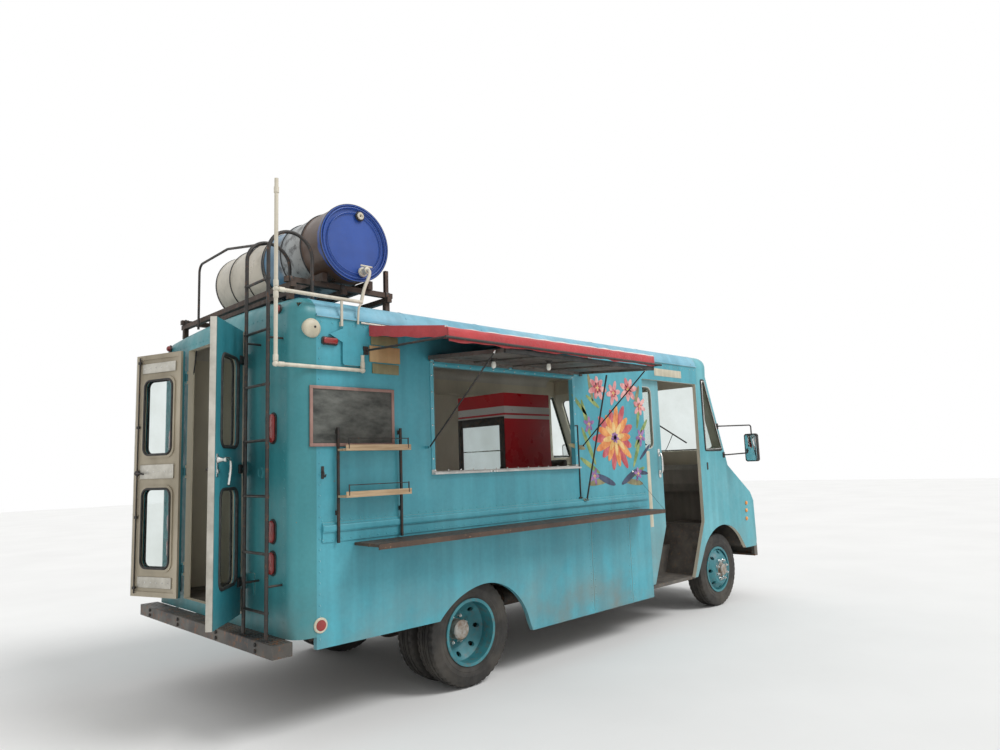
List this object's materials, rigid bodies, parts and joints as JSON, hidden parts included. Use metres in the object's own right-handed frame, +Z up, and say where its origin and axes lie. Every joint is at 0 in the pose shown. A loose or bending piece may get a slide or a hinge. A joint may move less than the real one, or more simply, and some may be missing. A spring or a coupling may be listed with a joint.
{
  "type": "food truck",
  "caption": "Walk-in food truck with a serving window under a raised hatch, open rear doors, roof drums and a fold-down side shelf.",
  "frame": {"origin": "on the ground, on the truck's middle line, under the rear face of the body", "axes": "+X towards the front of the truck, +Y to its left side, +Z up"},
  "size_m": [6.9351, 3.6543, 3.721],
  "materials": {
    "body_paint": "gloss",
    "body_inner": "satin",
    "roof_paint": "satin",
    "dark_steel": "matt",
    "chassis_steel": "matt",
    "rack_steel": "matt",
    "aluminium": "satin",
    "hatch_metal": "brushed",
    "glass": "clear",
    "awning_cloth": "woven",
    "shelf_board": "dark oiled",
    "drum_plastic": "moulded",
    "pipe_plastic": "extruded",
    "rim_paint": "gloss",
    "tyre_rubber": "worn",
    "seat_cloth": "vinyl",
    "kitchen_steel": "brushed",
    "cooler_paint": "gloss",
    "wheel_plastic": "moulded",
    "grille_metal": "gloss"
  },
  "bodies": {
    "truck": {"chassis": "chassis_steel", "floor": "chassis_steel", "side_right": "body_paint", "side_left": "body_paint", "rear_wall": "body_paint", "roof": "roof_paint", "cab_front": "body_paint", "cab_glass": "glass", "grille": "grille_metal", "bumpers": "dark_steel", "ladder": "dark_steel", "roof_rack": "rack_steel", "drums": "drum_plastic", "water_pipe": "pipe_plastic", "side_shelves": "dark_steel", "window_frame": "aluminium", "kitchen": "kitchen_steel", "cooler": "cooler_paint", "cab_fittings": "body_inner", "mirrors": "dark_steel", "awning": "awning_cloth", "awning_frame": "dark_steel", "seat": "seat_cloth"},
    "steering": {"steering_wheel": "wheel_plastic"},
    "hood_lid": {"hood": "body_paint"},
    "hatch": {"serving_hatch": "hatch_metal"},
    "stay_f": {"stay_front": "dark_steel"},
    "stay_r": {"stay_rear": "dark_steel"},
    "prop": {"hatch_prop": "dark_steel"},
    "shelf": {"service_shelf": "shelf_board"},
    "rear_leaf_right": {"rear_door_right": "body_paint", "rear_glass_right": "glass"},
    "rear_leaf_left": {"rear_door_left": "body_paint", "rear_glass_left": "glass"},
    "slider_right": {"cab_door_right": "body_paint", "cab_glass_right": "glass"},
    "slider_left": {"cab_door_left": "body_paint", "cab_glass_left": "glass"},
    "steer_right": {"knuckle_right": "chassis_steel"},
    "steer_left": {"knuckle_left": "chassis_steel"},
    "wheel_front_right": {"rim_front_right": "rim_paint", "tyre_front_right": "tyre_rubber"},
    "wheel_front_left": {"rim_front_left": "rim_paint", "tyre_front_left": "tyre_rubber"},
    "wheels_rear_right": {"rims_rear_right": "rim_paint", "tyre_rear_outer_right": "tyre_rubber", "tyre_rear_inner_right": "tyre_rubber"},
    "wheels_rear_left": {"rims_rear_left": "rim_paint", "tyre_rear_outer_left": "tyre_rubber", "tyre_rear_inner_left": "tyre_rubber"}
  },
  "joints": [
    {"name": "steering_turn", "type": "hinge", "parent": "truck", "child": "steering", "pos_m": [5.24, 0.45, 1.56], "axis": [-0.8, 0, 0.6], "range_deg": [-480, 480]},
    {"name": "steer_right_turn", "type": "hinge", "parent": "truck", "child": "steer_right", "pos_m": [5.58, -0.88, 0.42], "axis": [0, 0, 1], "range_deg": [-30, 30]},
    {"name": "steer_left_turn", "type": "hinge", "parent": "truck", "child": "steer_left", "pos_m": [5.58, 0.88, 0.42], "axis": [0, 0, 1], "range_deg": [-30, 30]},
    {"name": "wheel_front_right_roll", "type": "hinge", "parent": "steer_right", "child": "wheel_front_right", "pos_m": [5.58, -1.01, 0.42], "axis": [0, 1, 0], "continuous": true},
    {"name": "wheel_front_left_roll", "type": "hinge", "parent": "steer_left", "child": "wheel_front_left", "pos_m": [5.58, 1.01, 0.42], "axis": [0, 1, 0], "continuous": true},
    {"name": "wheels_rear_right_roll", "type": "hinge", "parent": "truck", "child": "wheels_rear_right", "pos_m": [1.6, -1.02, 0.42], "axis": [0, 1, 0], "continuous": true},
    {"name": "wheels_rear_left_roll", "type": "hinge", "parent": "truck", "child": "wheels_rear_left", "pos_m": [1.6, 1.02, 0.42], "axis": [0, 1, 0], "continuous": true},
    {"name": "hood_lift", "type": "hinge", "parent": "truck", "child": "hood_lid", "pos_m": [5.8583, 0, 1.6111], "axis": [0, -1, 0], "range_deg": [0, 60]},
    {"name": "hatch_close", "type": "hinge", "parent": "truck", "child": "hatch", "pos_m": [2.035, -1.216, 2.566], "axis": [1, 0, 0], "range_deg": [0, 86]},
    {"name": "stay_front_fold", "type": "hinge", "parent": "truck", "child": "stay_f", "pos_m": [2.964, -1.24, 1.888], "axis": [1, 0, 0], "range_deg": [0, 100]},
    {"name": "stay_rear_fold", "type": "hinge", "parent": "truck", "child": "stay_r", "pos_m": [1.106, -1.24, 1.888], "axis": [1, 0, 0], "range_deg": [0, 100]},
    {"name": "prop_lean", "type": "hinge", "parent": "truck", "child": "prop", "pos_m": [2.992, -1.235, 1.385], "axis": [1, 0, 0], "range_deg": [-14.8, 10]},
    {"name": "shelf_fold", "type": "hinge", "parent": "truck", "child": "shelf", "pos_m": [2.175, -1.213, 1.204], "axis": [1, 0, 0], "range_deg": [0, 90]},
    {"name": "rear_door_right_swing", "type": "hinge", "parent": "truck", "child": "rear_leaf_right", "pos_m": [-0.014, -0.49, 1.77], "axis": [0, 0, 1], "range_deg": [-137, 5]},
    {"name": "rear_door_left_swing", "type": "hinge", "parent": "truck", "child": "rear_leaf_left", "pos_m": [-0.014, 0.61, 1.77], "axis": [0, 0, 1], "range_deg": [-5, 160]},
    {"name": "cab_door_right_slide", "type": "slide", "parent": "truck", "child": "slider_right", "axis": [1, 0, 0], "range_m": [-0.285, 0.735]},
    {"name": "cab_door_left_slide", "type": "slide", "parent": "truck", "child": "slider_left", "axis": [1, 0, 0], "range_m": [-1.02, 0]}
  ],
  "couplings": [
    {"joint": "steer_left_turn", "follows": "steer_right_turn", "ratio": 1},
    {"joint": "steering_turn", "follows": "steer_right_turn", "ratio": 16}
  ]
}
